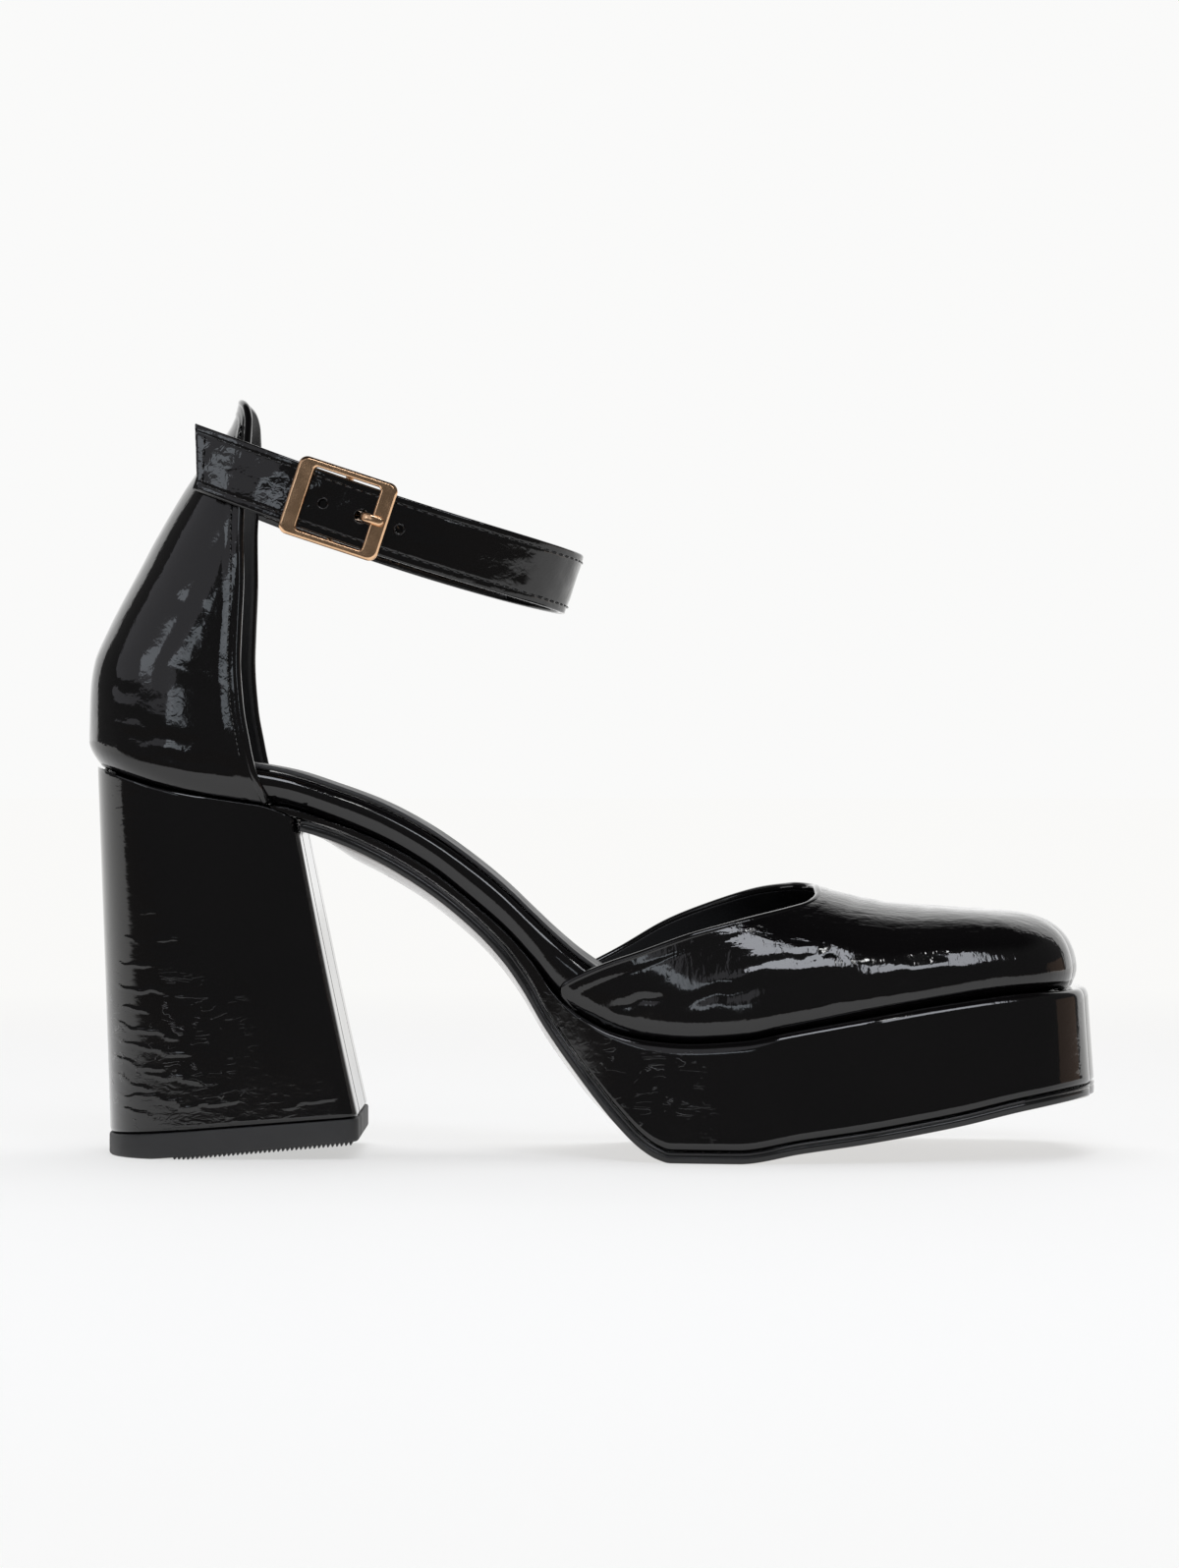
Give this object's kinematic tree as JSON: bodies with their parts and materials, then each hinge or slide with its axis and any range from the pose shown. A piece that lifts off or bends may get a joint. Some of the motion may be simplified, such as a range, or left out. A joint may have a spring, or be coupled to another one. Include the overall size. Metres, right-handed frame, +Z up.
{
  "type": "platform shoe",
  "caption": "Square-toed platform shoe with a flared block heel, an open waist and an ankle strap with a square buckle, right foot.",
  "frame": {"origin": "on the floor, in the middle of the flat rear spot under the heel", "axes": "+X from the heel to the toe, +Y to the inner side of the foot, +Z up"},
  "size_m": [0.2499, 0.089, 0.1862],
  "materials": {
    "patent_black": "glossy, lightly crinkled patent",
    "sole_rubber": "satin",
    "lift_rubber": "matt with fine ribs",
    "lining_black": "semi-matt",
    "pale_gold": "polished"
  },
  "bodies": {
    "root": {"heel_lift": "lift_rubber", "heel_block": "patent_black", "outsole": "sole_rubber", "platform": "patent_black", "insole_board": "patent_black", "sock_lining": "lining_black", "vamp": "patent_black", "counter": "patent_black", "ankle_strap": "patent_black", "buckle_strap": "patent_black", "buckle_frame": "pale_gold", "buckle_prong": "pale_gold"}
  },
  "joints": []
}
